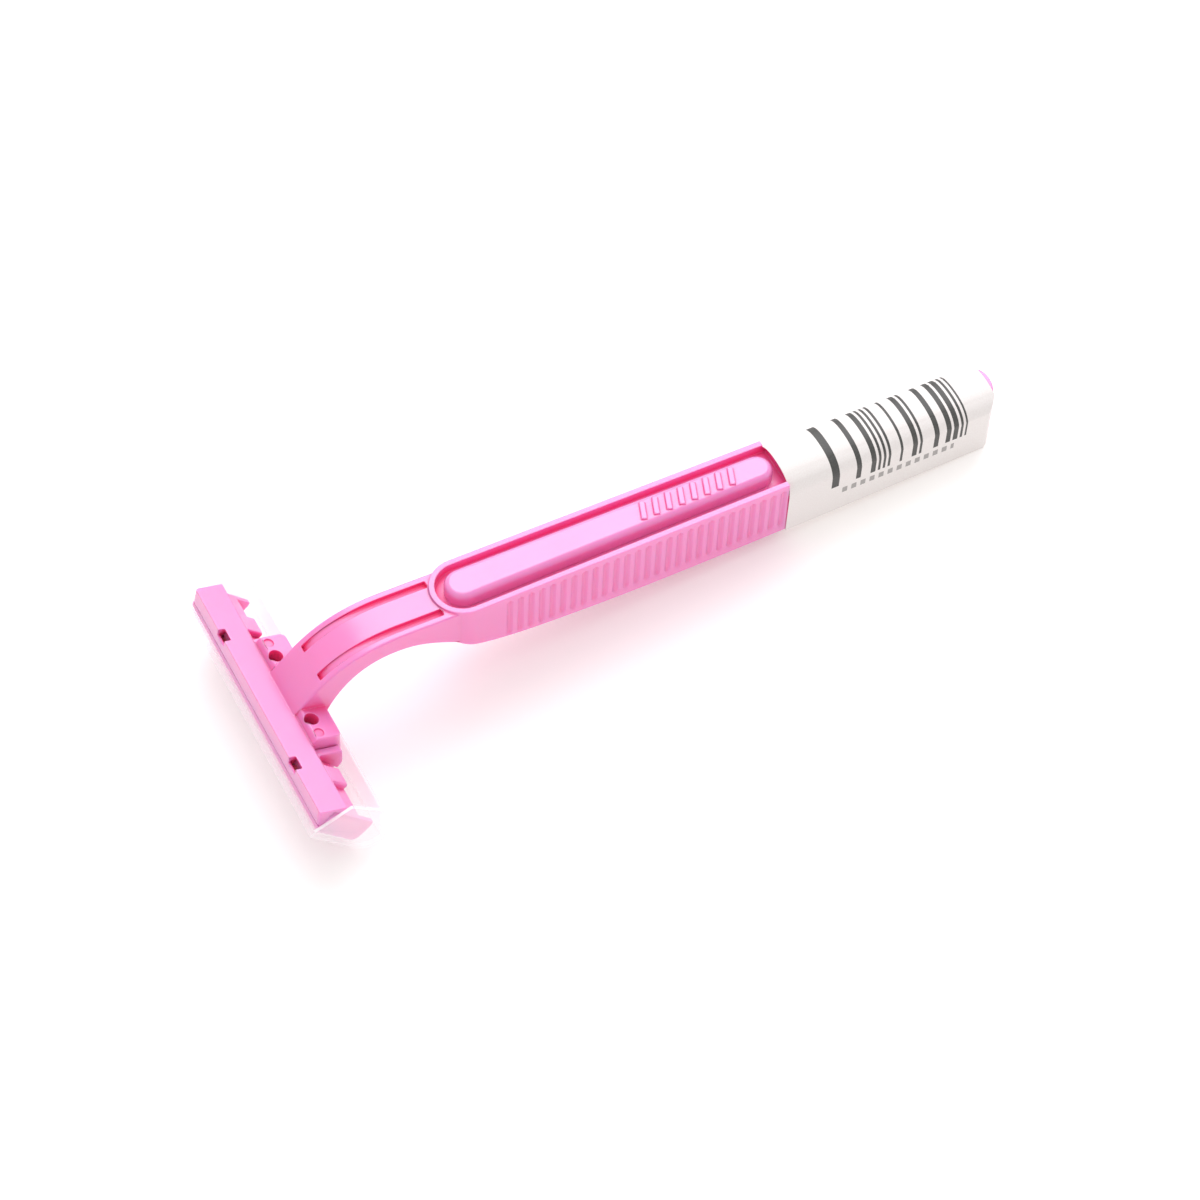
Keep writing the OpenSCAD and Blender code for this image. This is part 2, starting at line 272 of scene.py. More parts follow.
def gripPlanTail(steps=14):
    half = grip["tailHalf"]
    r = grip["tailRound"]
    most = atan2(half, (r * r - half * half) ** 0.5)
    pts = []
    for i in range(-steps, steps + 1):
        a = most * i / steps
        pts.append(Vector((grip["tail"] - r * (1 - cos(a)), r * sin(a))))
    return pts


def makeTailBlock(name, fromX, grow=0.0):
    # the rear of the grip under a domed top; grow makes it a little larger all round
    half = gripHalf(grip["labelFrom"])
    crown, shoulder = grip["crown"] + grow, grip["shoulder"]
    dome = bend((-half - grow, -shoulder), (-half - grow, -0.5 + grow), (-0.6 * half, crown), (0, crown), 14)
    section = dome + [Vector((-p.x, p.y)) for p in reversed(dome[:-1])]
    section += [Vector((half + grow, -14)), Vector((-half - grow, -14))]
    block = traceShape(name, section, "cross", fromX, grip["tail"] + 1)
    corner = Vector((fromX - 1, gripHalf(fromX - 1)))
    outline = [Vector((corner.x, -corner.y))] + gripPlanTail() + [corner]
    outline = [p + Vector((0, grow if p.y > 0 else -grow)) if abs(p.y) > 0.01 else p for p in outline]
    plan = traceShape("tailPlan", outline, "plan", -20, 20)
    combine(block, plan, "INTERSECT")
    lowered = [p - Vector((0, grow if p.y < -9 else 0)) for p in gripSide()]
    side = traceShape("tailSide", lowered, "side", -10, 10)
    return combine(block, side, "INTERSECT")


def makeFrontBlock():
    outline = slotPlan(grip["frontHalf"], gripHalf(grip["labelFrom"]), arcX, grip["labelFrom"])
    block = traceShape("frontBlock", outline, "plan", -14, 0)
    side = traceShape("frontSide", gripSide(), "side", -10, 10)
    return combine(block, side, "INTERSECT")


def makeTrough():
    outline = slotPlan(grip["troughHalf"], grip["troughRearHalf"], arcX, grip["labelFrom"] + 0.4)
    trough = traceShape("trough", outline, "plan", -grip["troughDeep"], 3)
    roundEdges(trough, lambda p, d: p.z < -grip["troughDeep"] + 0.01, grip["troughSoft"], 2)
    return trough


def makeRibGrooves():
    # one groove with a wave for its section that runs out at both ends, then a row down each side
    half, deep, run = grip["ribWide"] / 2, grip["ribDeep"], grip["ribRun"]
    middle = Vector((grip["ribFrom"] + half, -gripHalf(grip["ribFrom"] + half)))
    wave = [middle + Vector((half * i / 8, deep * (0.5 + 0.5 * cos(pi * i / 8)) - 0.03))
            for i in range(-8, 9)]
    outline = wave + [middle + Vector((half, -1)), middle + Vector((-half, -1))]
    groove = traceShape("ribGroove", outline, "plan", grip["ribLow"] + run, grip["ribTop"] - run / 2)
    for side, z in ((-1, grip["ribLow"] + run), (1, grip["ribTop"] - run / 2)):
        pick(groove, "faces", lambda p, n: abs(p.z - z) < 0.01 and abs(n.z) > 0.9)
        reach = side * run * (0.75 - side / 4)
        bpy.ops.mesh.extrude_region_move(TRANSFORM_OT_translate={"value": (0, -deep, reach)})
        backToObject()
    taper = (gripHalf(0) - gripHalf(50)) / 50
    return mirrorCopy(repeat(groove, grip["ribs"], (grip["ribPitch"], taper * grip["ribPitch"], 0)))


hollow = {"cells": 6, "web": 1.2, "front": 4.0, "tailWall": 4.0, "sideWall": 1.5, "roof": 3.3,
          "cornerRound": 0.8, "roofRound": 0.5}


def makeHollow():
    # open cells under the grip, parted by thin webs
    front, web, roof = hollow["front"], hollow["web"], -hollow["roof"]
    pitch = (grip["tail"] - hollow["tailWall"] - front + web) / hollow["cells"]
    inner = grip["tailHalf"] - hollow["sideWall"]
    cell = boxBetween("cell", (front, -inner, -20), (front + pitch - web, inner, roof))
    roundEdges(cell, lambda p, d: abs(d.z) > 3, hollow["cornerRound"], 4)
    roundEdges(cell, lambda p, d: p.z > roof - 0.1, hollow["roofRound"], 3)
    return repeat(cell, hollow["cells"], (pitch, 0, 0))


# The head's own frame starts at the bar's nose, with U along the shaved skin and V up into the head
head = {
    "nose": (-28.45, -11.6), "angle": 48.0, "half": 20.75,
    "barFront": (-2.54, 3.16), "barRear": (1.24, 5.4), "frontV": 1.0, "innerU": -0.25,
    "backV": 4.0, "rearU": 8.35, "edge": 0.35, "endRound": 0.5,
    "bladeAngle": 22.0, "edgeU": 5.4,
}
pad = {"half": 9.5, "slope": 17.0, "x": -22.2, "z": -8.3, "topX": -23.05, "rearX": -19.35,
       "hole": 1.0, "holeY": 5.84, "holeDeep": 6, "dimple": 0.7, "dimpleY": 8.3, "dimpleDeep": 0.3,
       "cornerSoft": 0.9, "topSoft": 0.25}


def tipped(x, z, angle):
    # moves to X and Z and tips about Y
    return Matrix.Translation((x, 0, z)) @ Matrix.Rotation(radians(angle), 4, "Y")


toHead = tipped(*head["nose"], head["angle"])
toPack = toHead @ tipped(head["edgeU"], 0, head["bladeAngle"])
padTop = tipped(pad["x"], pad["z"], pad["slope"])


def inGrip(u, v):
    p = toHead @ Vector((u, 0, v))
    return Vector((p.x, p.z))


def padHeight(x):
    return pad["z"] - (x - pad["x"]) * tan(radians(pad["slope"]))


neck = {"half": 4.1, "grooveGap": 5.2, "grooveWide": 1.1, "grooveFrom": -19.7, "grooveSoft": 0.2, "edge": 0.3}


def makeNeck():
    top = bend((-24.6, -9.2), (-21.4, -6.8), (-18.6, -0.35), (-8, -0.2), 22)
    under = bend((4, -8.6), (-1.6, -5.6), (-4.2, -3.4), (-8.4, -3.4), 10)
    under += bend((-8.4, -3.4), (-13.6, -3.3), (-17, -6.4), (-19.3, -11.4), 14)[1:]
    outline = top + [(3.5, -0.45), (3.5, -8.3)] + under[1:]
    outline += [(pad["rearX"], -13.2), inGrip(7.0, head["backV"] + 0.2), inGrip(1.9, head["backV"] + 0.1)]
    body = traceShape("neck", outline, "side", -neck["half"], neck["half"])
    roundEdges(body, lambda p, d: abs(abs(p.y) - neck["half"]) < 0.01, neck["edge"], 3)
    return body


def makeNeckGrooves():
    start, end = neck["grooveFrom"], grip["front"] + 0.4
    bottom = bend((start + 0.4, -4.9), (-17.3, -2.4), (-14.6, -0.92), (-8, -0.9), 14)
    outline = [(start, -4)] + bottom + [(end, -1.1), (end, 2), (start, 2)]
    y = neck["grooveGap"] / 2
    half = neck["grooveWide"] / 2
    groove = traceShape("neckGroove", outline, "side", y - half, y + half)
    roundEdges(groove, lambda p, d: abs(abs(p.y - y) - half) < 0.01 and p.z < 0 and p.x > -18.5,
               neck["grooveSoft"], 3)
    return mirrorCopy(groove)


def makePad():
    outline = [inGrip(1.2, head["backV"] + 0.3), inGrip(head["barRear"][0] - 0.15, head["barRear"][1] - 0.05),
               (pad["topX"], padHeight(pad["topX"])), (pad["rearX"], padHeight(pad["rearX"])),
               (pad["rearX"], -13.3), inGrip(7.4, head["backV"] + 0.02)]
    block = traceShape("pad", outline, "side", -pad["half"], pad["half"])
    roundEdges(block, lambda p, d: abs(p.y) > 9 and p.x > pad["rearX"] - 0.01 and abs(d.z) > 1,
               pad["cornerSoft"], 5)
    roundEdges(block, lambda p, d: p.z > -9.4 and p.x > pad["topX"] - 0.02 and abs(d.y) + abs(p.y) > 9,
               pad["topSoft"], 3)
    return block


def makeBar():
    front, rear, low, inner = head["barFront"], head["barRear"], head["frontV"], head["innerU"]
    section = [front, (front[0] / front[1] * low, low), (inner, low), (inner, head["backV"]),
               (1.65, head["backV"]), rear]
    bar = traceShape("bar", section, "side", -head["half"], head["half"])
    roundEdges(bar, lambda p, d: abs(abs(p.y) - head["half"]) < 0.01 and p.x < -1.2 and p.z < 3,
               head["endRound"], 7)
    roundEdges(bar, lambda p, d: abs(d.y) > 30 and p.z > 3, head["edge"], 6)
    return turn(bar, toHead)


notch = {"y": 11.8, "wide": 2.1, "x": -26.8, "z": -8.8, "over": 0.8, "under": 0.9, "deep": 1.5, "side": 0.4}


def makeNotches():
    # a cut in the bar's front edge over a wider pocket, dark in its own real shadow and in the plastic's
    # painted pit shade
    y, half, x, z = notch["y"], notch["wide"] / 2, notch["x"], notch["z"]
    wider = half + notch["side"]
    block = boxBetween("notch", (x - 6, y - half, z), (x, y + half, z + 6))
    pocket = boxBetween("pocket", (x - notch["over"], y - wider, z - notch["deep"]),
                        (x + notch["under"], y + wider, z + 0.1))
    combine(block, pocket, "UNION")
    return mirrorCopy(block)


def makeHoles():
    # a deep hole for the seat's post and a shallow dimple, on each side of the neck
    holes = []
    for y, radius, deep in ((pad["holeY"], pad["hole"], pad["holeDeep"]),
                            (pad["dimpleY"], pad["dimple"], pad["dimpleDeep"])):
        holes += [rod(radius, 0, side * y, -deep, 6, 40) for side in (-1, 1)]
    return turn(joinAll(holes), padTop)


def makeHandle():
    body = makeFrontBlock()
    for part in (makeTailBlock("tailBlock", grip["labelFrom"] - 0.5), makeNeck(), makePad(), makeBar()):
        combine(body, part, "UNION")
    for part in (makeTrough(), makeHollow(), makeNeckGrooves(), makeNotches(), makeHoles()):
        combine(body, part, "DIFFERENCE")
    weld(body, 0.01)
    softenEdges(body, grip["edge"], 38, use_clamp_overlap=False, miter_outer="MITER_ARC", profile=0.5)
    weld(body, 0.01)
    combine(body, makeRibGrooves(), "DIFFERENCE")
    print("handle:", len(body.data.polygons), "faces")
    return body


handle = makeHandle()
finishPiece(handle, "razor_handle", "razor", "handle")


# The seat under the bar and the cap in front of it, with the cap's pins in the seat

# inHead places a point of the blade pack, which leans in the head by the blades' angle
pack = {"step": 0.562, "pinU": -3.7, "pinGap": 8.0, "pin": 0.8, "pinTop": 1.5, "thick": 0.1, "bladeWide": 4.4,
        "postSunk": 1.9, "postLong": 4.2, "toothGap": 2.1, "toothWide": 0.5, "teeth": 9, "soft": 0.08,
        "stepDrop": 2.0, "stepRear": -19.95, "stepSoft": 0.25, "endWall": 0.6, "reliefU": 5.3, "blockSoft": 0.4}


def inHead(u, v):
    a = radians(head["bladeAngle"])
    return Vector((head["edgeU"] + u * cos(a) + v * sin(a), v * cos(a) - u * sin(a)))


def capSection():
    slope = head["barFront"][0] / head["barFront"][1]
    return [(3.3, 0.08), inHead(-2.05, -pack["step"]), inHead(-5.75, -pack["step"]), (head["innerU"], 1.55),
            (head["innerU"], head["frontV"]), (slope * head["frontV"], head["frontV"]), (-0.42, 0.42),
            (0, 0.12), (0.5, 0)]


def makePins(radius, low, high):
    pins = [rod(radius, pack["pinU"], pack["pinGap"] * i, low, high) for i in range(-2, 3)]
    return turn(joinAll(pins), toPack)


def makeCap():
    body = traceShape("cap", capSection(), "side", -head["half"], head["half"])
    turn(body, toHead)
    combine(body, makePins(pack["pin"], -pack["step"] - 0.2, pack["pinTop"]), "UNION")
    return softenEdges(body, pack["soft"])


def makeSteps():
    # a step on each side of the pad, a little lower than its top
    drop, rear, back = pack["stepDrop"], pack["stepRear"], head["backV"]
    tread = [inGrip(1.7, back - 0.2), (pad["topX"], padHeight(pad["topX"]) - drop),
             (rear, padHeight(rear) - drop), (rear, -13.2), inGrip(7.2, back - 0.3)]
    step = traceShape("seatStep", tread, "side", -pad["half"] - 1.4, -pad["half"] - 0.12)
    roundEdges(step, lambda p, d: p.z > -12.6 and p.x > -22.9, pack["stepSoft"], 3)
    return mirrorCopy(step)


def makePosts():
    # posts staked in the pad's holes
    post = rod(pad["hole"] - 0.1, 0, -pad["holeY"], -pack["postLong"], -pack["postSunk"])
    return turn(mirrorCopy(post), padTop)


def makeSeat():
    inner, back, rear = head["innerU"], head["backV"], head["rearU"]
    half, thick, wide = head["half"] - 0.02, pack["thick"], pack["bladeWide"] + 0.05
    section = [inHead(-0.9, thick), inHead(-wide, thick), inHead(-wide, 0), inHead(-6, 0),
               (inner, 2.3), (inner, back), (8.05, back), (rear, 3.4), (rear, 0.9), (8, 0.25),
               (7.5, 0), (6.9, 0), (6.35, 0.5), (6.25, 1.5), (4.9, 1.6)]
    seat = traceShape("seat", section, "side", -half, half)
    wall = [(inner, head["frontV"]), (0.3, 0.15), (0.6, 0), (7.5, 0), (8, 0.25), (rear, 0.9), (rear, 3.4),
            (8.05, back), (inner, back)]
    end = traceShape("seatEnd", wall, "side", -half, -half + pack["endWall"])
    combine(end, traceShape("capSpace", capSection(), "side", -half - 1, half + 1), "DIFFERENCE")
    combine(seat, mirrorCopy(end), "UNION")
    # cut away behind, outside the pad, with a block left standing in each cut
    reliefU = pack["reliefU"]
    cut = [(reliefU, back), (reliefU, back + 1), (9.5, back + 1), (9.5, 0.95), (7.9, 0.95)]
    relief = traceShape("relief", cut, "side", -half + pack["endWall"], -pad["half"] - 0.1)
    combine(seat, mirrorCopy(relief), "DIFFERENCE")
    block = boxBetween("seatBlock", (1.7, -15.6, back - 0.5), (reliefU - 0.02, -12.4, back + 1))
    roundEdges(block, lambda p, d: p.z > back + 0.99 or p.x > reliefU - 0.03, pack["blockSoft"], 4)
    combine(seat, mirrorCopy(block), "UNION")
    turn(seat, toHead)
    combine(seat, makeSteps(), "UNION")
    combine(seat, makePosts(), "UNION")
    combine(seat, makePins(pack["pin"] + 0.02, -1, pack["pinTop"] + 0.1), "DIFFERENCE")
    # slots along the edge that lies on the skin
    tooth = boxBetween("tooth", (7, 1, -0.6), (10, 1 + pack["toothWide"], 0.4))
    teeth = repeat(tooth, pack["teeth"], (0, pack["toothGap"], 0))
    combine(seat, turn(mirrorCopy(teeth), toHead), "DIFFERENCE")
    weld(seat, 0.005)
    softenEdges(seat, pack["soft"])
    print("seat:", len(seat.data.polygons), "faces")
    return seat


cap = makeCap()
finishPiece(cap, "pink_cap", "razor", "cap")
seat = makeSeat()
finishPiece(seat, "blade_seat_block", "razor", "blade_seat")


# The raised panel, with a row of slanted ridges for a mark

panel = {"length": 51.0, "frontHalf": 2.65, "rearHalf": 2.3, "proud": 0.8, "soft": 0.9,
         "ridges": 8, "ridgeFrom": 31.5, "ridgePitch": 2.0, "ridgeTurn": -20.0,
         "ridgeWide": 0.9, "ridgeLong": 3.0, "ridgeHigh": 0.3, "ridgeSoft": 0.2}


def makePanel():
    x0 = arcX - panel["frontHalf"]
    x1 = x0 + panel["length"]
    r = panel["rearHalf"]
    outline = slotPlan(panel["frontHalf"], r, arcX, x1 - r, 24)[1:-1]
    for i in range(19):
        a = pi / 2 - pi * i / 18
        outline.append(Vector((x1 - r + r * cos(a), r * sin(a))))
    plate = traceShape("panel", outline, "plan", -grip["troughDeep"], panel["proud"])
    roundEdges(plate, lambda p, d: p.z > panel["proud"] - 0.01, panel["soft"], 5)
    half = Vector((panel["ridgeWide"] / 2, panel["ridgeLong"] / 2, 0))
    ridge = boxBetween("ridge", -half - Vector((0, 0, 0.3)), half + Vector((0, 0, panel["ridgeHigh"])))
    roundEdges(ridge, lambda p, d: p.z > panel["ridgeHigh"] - 0.01, panel["ridgeSoft"], 3)
    turn(ridge, Matrix.Translation((panel["ridgeFrom"], 0, panel["proud"]))
         @ Matrix.Rotation(radians(panel["ridgeTurn"]), 4, "Z"))
    combine(plate, repeat(ridge, panel["ridges"], (panel["ridgePitch"], 0, 0)), "UNION")
    print("panel:", len(plate.data.polygons), "faces")
    return plate


gripPanel = makePanel()
finishPiece(gripPanel, "raised_panel", "razor", "grip_panel")


# The label, a sleeve of paper round the tail

label = {"length": 34.4, "thick": 0.12}


def makeLabel():
    x1 = grip["labelFrom"] + label["length"]
    sleeve = makeTailBlock("label", grip["labelFrom"], 0.01)
    pick(sleeve, "faces", lambda p, n: True)
    bpy.ops.mesh.bisect(plane_co=(x1, 0, 0), plane_no=(1, 0, 0), clear_outer=True)
    backToObject()
    pick(sleeve, "faces", lambda p, n: p.x < grip["labelFrom"] + 0.01)
    bpy.ops.mesh.delete(type="FACE")
    backToObject()
    applyModifier(sleeve, "SOLIDIFY", thickness=label["thick"], offset=1.0, use_even_offset=True)
    print("label:", len(sleeve.data.polygons), "faces")
    return sleeve


barLabel = makeLabel()
finishPiece(barLabel, "bar_label", "razor", "barcode_label")


# The clear guard that clips over the head

guard = {"wall": 0.55, "gap": 0.2, "low": (-21.6, -19.4), "rearX": -18.6, "topZ": -12.2,
         "peak": (-23.3, -8.3), "bendU": 8.0, "floorV": -0.7, "lipU": -1.05, "lipV": 0.35,
         "fold": 0.7, "rim": 0.14}


def makeGuard():
    low, rear, wall = Vector(guard["low"]), guard["rearX"], guard["wall"]
    lipU, lipV, floorV, bendU = guard["lipU"], guard["lipV"], guard["floorV"], guard["bendU"]
    rearLow = low.y + (rear - low.x) * tan(tilt)
    outline = [inGrip(lipU, floorV), inGrip(bendU, floorV), low, (rear, rearLow), (rear, guard["topZ"]),
               guard["peak"], inGrip(lipU, lipV)]
    inside = head["half"] + guard["gap"]
    shell = traceShape("guard", outline, "side", -inside - wall, inside + wall)
    floorEdges = lambda p, d: abs(d.y) > 30 and p.z < -14
    roundEdges(shell, floorEdges, guard["fold"], 5)
    space = [inGrip(lipU + wall, floorV + wall), inGrip(bendU - 0.1, floorV + wall),
             low + Vector((-0.15, wall + 0.05)), (rear - wall, rearLow + wall), (rear - wall, 0), (-34, 0),
             inGrip(lipU - 2, lipV), inGrip(lipU + wall, lipV)]
    room = traceShape("guardRoom", space, "side", -inside, inside)
    roundEdges(room, floorEdges, guard["fold"] - 0.3, 4)
    combine(shell, room, "DIFFERENCE")
    softenEdges(shell, guard["rim"], use_clamp_overlap=False)
    # the faces of the open rim are marked, and the material paints a white highlight on them
    rim = shell.data.color_attributes.new("rim", "FLOAT_COLOR", "CORNER")
    for face in shell.data.polygons:
        p, n = face.center, face.normal
        lit = abs(p.y) > inside and n.z > 0.35 and abs(n.y) < 0.6
        for corner in face.loop_indices:
            rim.data[corner].color = (1, 1, 1, 1) if lit else (0, 0, 0, 1)
    print("guard:", len(shell.data.polygons), "faces")
    return shell


clearGuard = makeGuard()
finishPiece(clearGuard, "clear_guard", "guard", "blade_guard")


# Materials: one group shared by the plastics, then one material for each finish

def newNode(tree, kind, x, y, **settings):
    node = tree.nodes.new("ShaderNode" + kind)
    node.location = (x, y)
    for key, value in settings.items():
        setattr(node, key, value)
    return node


def newGroup(name, inputs, outputs):
    group = bpy.data.node_groups.new(name, "ShaderNodeTree")
    for title, kind, value in inputs:
        socket = group.interface.new_socket(name=title, in_out="INPUT", socket_type="NodeSocket" + kind)
        socket.default_value = value
    for title, kind in outputs:
        group.interface.new_socket(name=title, in_out="OUTPUT", socket_type="NodeSocket" + kind)
    entry = group.nodes.new("NodeGroupInput")
    entry.location = (-1200, 0)
    leave = group.nodes.new("NodeGroupOutput")
    leave.location = (900, 0)
    return group, entry.outputs, leave.inputs


def colourSockets(node):
    # a Mix node's colour sockets, past its value and vector ones
    return node.inputs[0], node.inputs[6], node.inputs[7], node.outputs[2]


def makePlasticGroup():
    # moulded plastic: clouds in the colour, painted shade deepening the colour in creases and near-black
    # painted shade in deep pits, flow lines in the gloss, fine grain
    group, given, out = newGroup("mouldedPlastic", [
        ("Colour", "Color", (0.9, 0.3, 0.6, 1)), ("Crease Colour", "Color", (0.8, 0.03, 0.2, 1)),
        ("Pit Colour", "Color", (0.12, 0.01, 0.03, 1)),
        ("Crease Reach", "Float", 0.003), ("Crease Amount", "Float", 1.0),
        ("Cloud Size", "Float", 90.0), ("Grain Size", "Float", 2600.0),
        ("Gloss", "Float", 0.3), ("Gloss Spread", "Float", 0.1), ("Coat", "Float", 0.8),
        ("Grain Height", "Float", 0.08),
    ], [("Colour", "Color"), ("Roughness", "Float"), ("Coat", "Float"), ("Normal", "Vector")])
    new, link = (lambda *a, **k: newNode(group, *a, **k)), group.links.new
    place = new("TexCoord", -1000, -200)
    cloud = new("TexNoise", -760, 200)
    cloud.inputs["Detail"].default_value = 4
    link(place.outputs["Object"], cloud.inputs["Vector"])
    link(given["Cloud Size"], cloud.inputs["Scale"])
    cloudShare = new("MapRange", -560, 200)
    cloudShare.inputs["From Min"].default_value = 0.35
    cloudShare.inputs["From Max"].default_value = 0.7
    cloudShare.inputs["To Max"].default_value = 0.09
    link(cloud.outputs["Fac"], cloudShare.inputs["Value"])
    clouded = new("Mix", -320, 200, data_type="RGBA")
    share, one, two, mixed = colourSockets(clouded)
    link(cloudShare.outputs["Result"], share)
    link(given["Colour"], one)
    link(given["Crease Colour"], two)
    # painted shade: occlusion in creases blends the crease shade colour into the surface colour
    crease = new("AmbientOcclusion", -560, 460, samples=8, only_local=True)
    link(given["Crease Reach"], crease.inputs["Distance"])
    creaseShadeCurve = new("MapRange", -320, 460, interpolation_type="SMOOTHSTEP")
    creaseShadeCurve.inputs["From Min"].default_value = 0.95
    creaseShadeCurve.inputs["From Max"].default_value = 0.45
    link(crease.outputs["AO"], creaseShadeCurve.inputs["Value"])
    creaseShadeShare = new("Math", -120, 460, operation="MULTIPLY")
    link(creaseShadeCurve.outputs["Result"], creaseShadeShare.inputs[0])
    link(given["Crease Amount"], creaseShadeShare.inputs[1])
    deep = new("Mix", 100, 260, data_type="RGBA")
    share, one, two, creaseShaded = colourSockets(deep)
    link(creaseShadeShare.outputs[0], share)
    link(mixed, one)
    link(given["Crease Colour"], two)
    # painted shade: where the occlusion is deepest the colour goes to the near-black pit shade colour
    pitShadeCurve = new("MapRange", 100, 520, interpolation_type="SMOOTHSTEP")
    pitShadeCurve.inputs["From Min"].default_value = 0.3
    pitShadeCurve.inputs["From Max"].default_value = 0.1
    link(crease.outputs["AO"], pitShadeCurve.inputs["Value"])
    pitShadeShare = new("Math", 300, 520, operation="MULTIPLY")
    link(pitShadeCurve.outputs["Result"], pitShadeShare.inputs[0])
    link(given["Crease Amount"], pitShadeShare.inputs[1])
    pitShadeMix = new("Mix", 500, 300, data_type="RGBA")
    share, one, two, pitShaded = colourSockets(pitShadeMix)
    link(pitShadeShare.outputs[0], share)
    link(creaseShaded, one)
    link(given["Pit Colour"], two)
    link(pitShaded, out["Colour"])
    flow = new("Mapping", -760, -120)
    flow.inputs["Scale"].default_value = (60, 700, 400)
    link(place.outputs["Object"], flow.inputs["Vector"])
    lines = new("TexNoise", -560, -120)
    lines.inputs["Scale"].default_value = 1.0
    lines.inputs["Detail"].default_value = 5
    link(flow.outputs["Vector"], lines.inputs["Vector"])
    spread = new("Math", -320, -120, operation="MULTIPLY_ADD")
    link(lines.outputs["Fac"], spread.inputs[0])
    link(given["Gloss Spread"], spread.inputs[1])
    link(given["Gloss"], spread.inputs[2])
    dull = new("Math", 100, -120, operation="MULTIPLY_ADD")
    dull.inputs[1].default_value = 0.35
    link(creaseShadeShare.outputs[0], dull.inputs[0])
    link(spread.outputs[0], dull.inputs[2])
    link(dull.outputs[0], out["Roughness"])
    bare = new("Math", 300, -240, operation="SUBTRACT", use_clamp=True)
    bare.inputs[0].default_value = 1
    link(creaseShadeShare.outputs[0], bare.inputs[1])
    coat = new("Math", 500, -240, operation="MULTIPLY")
    link(bare.outputs[0], coat.inputs[0])
    link(given["Coat"], coat.inputs[1])
    link(coat.outputs[0], out["Coat"])
    grain = new("TexNoise", -560, -420)
    grain.inputs["Detail"].default_value = 3
    link(place.outputs["Object"], grain.inputs["Vector"])
    link(given["Grain Size"], grain.inputs["Scale"])
    bump = new("Bump", -120, -420)
    bump.inputs["Distance"].default_value = 0.00005
    link(given["Grain Height"], bump.inputs["Strength"])
    link(grain.outputs["Fac"], bump.inputs["Height"])
    link(bump.outputs["Normal"], out["Normal"])
    return group


plasticGroup = makePlasticGroup()


def startMaterial(name):
    mat = bpy.data.materials.new(name)
    mat.use_nodes = True
    tree = mat.node_tree
    skin = tree.nodes["Principled BSDF"]
    return mat, tree, skin


def putOn(ob, mat):
    ob.data.materials.clear()
    ob.data.materials.append(mat)


# each finish's crease shade colour is the painted shade laid into its creases
plastics = {
    "pinkHandle": {"Colour": (0.93, 0.25, 0.58, 1), "Crease Colour": (0.92, 0.06, 0.27, 1), "Gloss": 0.26},
    "pinkPanel": {"Colour": (0.94, 0.28, 0.62, 1), "Crease Colour": (0.96, 0.06, 0.30, 1), "Gloss": 0.2},
    "pinkHead": {"Colour": (0.93, 0.25, 0.58, 1), "Crease Colour": (0.86, 0.07, 0.30, 1),
                 "Crease Amount": 0.8, "Gloss": 0.28},
}
glow = {"share": 0.45, "reach": 0.004, "tint": (1.0, 0.22, 0.35)}


def addPlastic(tree, skin, values):
    # the plastic group with this finish's values, joined to the shader
    surface = newNode(tree, "Group", -420, 200, node_tree=plasticGroup)
    for key, value in values.items():
        surface.inputs[key].default_value = value
    for title, socket in (("Colour", "Base Color"), ("Roughness", "Roughness"), ("Normal", "Normal")):
        tree.links.new(surface.outputs[title], skin.inputs[socket])
    return surface


def makePlastic(name):
    mat, tree, skin = startMaterial(name)
    surface = addPlastic(tree, skin, plastics[name])
    skin.inputs["IOR"].default_value = 1.49
    skin.inputs["Specular IOR Level"].default_value = 0.6
    tree.links.new(surface.outputs["Coat"], skin.inputs["Coat Weight"])
    skin.inputs["Coat Roughness"].default_value = 0.25
    skin.inputs["Subsurface Weight"].default_value = glow["share"]
    skin.inputs["Subsurface Radius"].default_value = glow["tint"]
    skin.inputs["Subsurface Scale"].default_value = glow["reach"]
    return mat


# shares of the painted white highlight on the clear plastic, and the strength of its painted glow
clear = {"bend": 0.25, "faceHighlight": 0.04, "edgeHighlight": 0.75, "rimHighlight": 0.75, "glow": 0.15}


